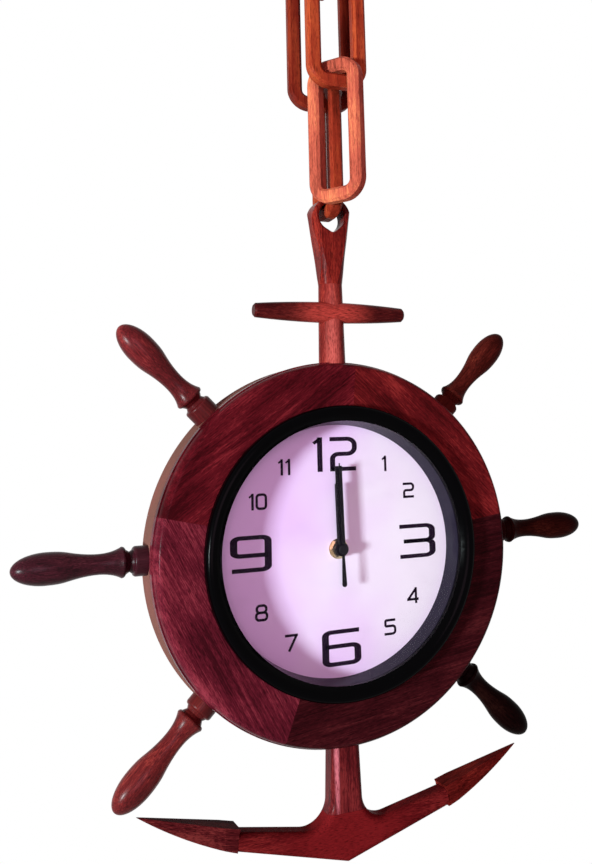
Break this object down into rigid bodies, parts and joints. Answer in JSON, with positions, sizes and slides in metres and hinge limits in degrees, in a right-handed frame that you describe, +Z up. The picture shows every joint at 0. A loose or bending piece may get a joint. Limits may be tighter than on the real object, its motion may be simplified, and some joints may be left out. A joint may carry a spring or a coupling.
{
  "type": "nautical wall clock",
  "caption": "Wall clock set in a turned wooden ship's wheel on a wooden anchor and hung by a wooden chain, with a plain quartz dial under a lens and turning hands.",
  "frame": {"origin": "the point under the top bar of the top link where a wall hook carries the clock", "axes": "+X to the viewer's right, +Y into the wall, +Z up"},
  "size_m": [0.391, 0.0661, 0.6625],
  "materials": {
    "rim_wood": "satin-gloss varnished rosewood",
    "handle_wood": "gloss varnished rosewood",
    "anchor_wood": "gloss varnished rosewood",
    "chain_light_wood": "oiled light wood",
    "chain_dark_wood": "oiled dark wood",
    "black_bezel": "gloss black",
    "lens_glass": "clear polished",
    "reflector": "gloss grey-purple",
    "dial_print": "white with plain printed numerals",
    "pan_plastic": "moulded black",
    "screw_steel": "zinc plated",
    "case_plastic": "moulded black",
    "cell_jacket": "plain printed jacket",
    "contact_metal": "nickel plated",
    "gasket_rubber": "matt black",
    "clamp_brass": "polished brass",
    "wheel_plastic": "natural white nylon",
    "magnet": "sintered dark grey",
    "stator_iron": "stamped sheet",
    "coil_wire": "enamelled copper winding",
    "board": "green laminate",
    "hand_black": "satin black"
  },
  "bodies": {
    "top_link": {"chain_top_link": "chain_dark_wood"},
    "rear_link": {"chain_rear_link": "chain_dark_wood"},
    "eye_link": {"chain_eye_link": "chain_light_wood"},
    "front_link": {"chain_front_link": "chain_light_wood"},
    "end_link": {"chain_end_link": "chain_light_wood"},
    "clock": {"rim_board_upper_right": "rim_wood", "rim_board_upper_left": "rim_wood", "rim_board_lower_left": "rim_wood", "rim_board_lower_right": "rim_wood", "handle_right": "handle_wood", "handle_upper_right": "handle_wood", "handle_upper_left": "handle_wood", "handle_left": "handle_wood", "handle_lower_left": "handle_wood", "handle_lower_right": "handle_wood", "anchor_eye": "anchor_wood", "anchor_upper_shank": "anchor_wood", "anchor_stock": "anchor_wood", "anchor_lower_shank": "anchor_wood", "anchor_crown": "anchor_wood", "fluke_left": "anchor_wood", "fluke_right": "anchor_wood", "bezel": "black_bezel", "lens": "lens_glass", "reflector_ring": "reflector", "dial": "dial_print", "back_pan": "pan_plastic", "pan_screws": "screw_steel", "retaining_clips": "screw_steel", "clip_screws": "screw_steel", "movement_case": "case_plastic", "movement_cover": "case_plastic", "battery": "cell_jacket", "battery_contacts": "contact_metal", "gasket": "gasket_rubber", "washer": "clamp_brass", "nut": "clamp_brass", "motor_stator": "stator_iron", "stator_pillars": "case_plastic", "motor_coil": "coil_wire", "circuit_board": "board"},
    "setting_work": {"minute_wheel": "wheel_plastic", "setting_knob": "case_plastic"},
    "minute_hand_work": {"minute_hand": "hand_black", "cannon_pinion": "wheel_plastic"},
    "hour_hand_work": {"hour_hand": "hand_black", "hour_wheel": "wheel_plastic"},
    "second_hand_work": {"second_hand": "hand_black", "second_wheel": "wheel_plastic"},
    "centre_wheel": {"centre_wheel": "wheel_plastic"},
    "third_wheel": {"third_wheel": "wheel_plastic"},
    "step_wheel": {"step_wheel": "wheel_plastic"},
    "motor_rotor": {"motor_rotor": "magnet"}
  },
  "joints": [
    {"name": "main_strand_sway", "type": "hinge", "parent": "top_link", "child": "rear_link", "pos_m": [0, 0.014, -0.0822], "axis": [-0.1392, -0.9903, 0], "range_deg": [-5, 5]},
    {"name": "slack_strand_sway", "type": "hinge", "parent": "top_link", "child": "front_link", "pos_m": [-0.0028, -0.014, -0.0822], "axis": [-0.0523, -0.9986, 0], "range_deg": [-5, 5]},
    {"name": "hanging_link_swing", "type": "hinge", "parent": "rear_link", "child": "eye_link", "pos_m": [0, 0.014, -0.1671], "axis": [-0.9903, 0.1392, 0], "range_deg": [0, 6]},
    {"name": "end_link_swing", "type": "hinge", "parent": "front_link", "child": "end_link", "pos_m": [-0.0028, -0.014, -0.1609], "axis": [-0.9986, 0.0523, 0], "range_deg": [0, 6]},
    {"name": "clock_sway", "type": "hinge", "parent": "eye_link", "child": "clock", "pos_m": [0, 0.014, -0.244], "axis": [0, -1, 0], "range_deg": [-6, 6]},
    {"name": "setting_knob_turn", "type": "hinge", "parent": "clock", "child": "setting_work", "pos_m": [0.006, 0.02145, -0.45636], "axis": [0, 1, 0], "continuous": true},
    {"name": "minute_hand_turn", "type": "hinge", "parent": "clock", "child": "minute_hand_work", "pos_m": [0, 0.02145, -0.46675], "axis": [0, 1, 0], "continuous": true},
    {"name": "hour_hand_turn", "type": "hinge", "parent": "clock", "child": "hour_hand_work", "pos_m": [0, 0.02145, -0.46675], "axis": [0, 1, 0], "continuous": true},
    {"name": "second_hand_turn", "type": "hinge", "parent": "clock", "child": "second_hand_work", "pos_m": [0, 0.02145, -0.46675], "axis": [0, 1, 0], "continuous": true},
    {"name": "third_wheel_turn", "type": "hinge", "parent": "clock", "child": "third_wheel", "pos_m": [-0.011, 0.02145, -0.46675], "axis": [0, 1, 0], "continuous": true},
    {"name": "centre_wheel_turn", "type": "hinge", "parent": "clock", "child": "centre_wheel", "pos_m": [0, 0.02145, -0.46675], "axis": [0, 1, 0], "continuous": true},
    {"name": "step_wheel_turn", "type": "hinge", "parent": "clock", "child": "step_wheel", "pos_m": [-0.0055, 0.02145, -0.45722], "axis": [0, 1, 0], "continuous": true},
    {"name": "motor_rotor_turn", "type": "hinge", "parent": "clock", "child": "motor_rotor", "pos_m": [-0.01329, 0.02145, -0.45272], "axis": [0, 1, 0], "continuous": true}
  ],
  "couplings": [
    {"joint": "slack_strand_sway", "follows": "main_strand_sway", "ratio": 1},
    {"joint": "end_link_swing", "follows": "hanging_link_swing", "ratio": 1},
    {"joint": "minute_hand_turn", "follows": "setting_knob_turn", "ratio": -3},
    {"joint": "hour_hand_turn", "follows": "setting_knob_turn", "ratio": -0.25},
    {"joint": "third_wheel_turn", "follows": "second_hand_turn", "ratio": -0.13333},
    {"joint": "centre_wheel_turn", "follows": "second_hand_turn", "ratio": 0.016667},
    {"joint": "step_wheel_turn", "follows": "second_hand_turn", "ratio": -5},
    {"joint": "motor_rotor_turn", "follows": "second_hand_turn", "ratio": 30}
  ]
}
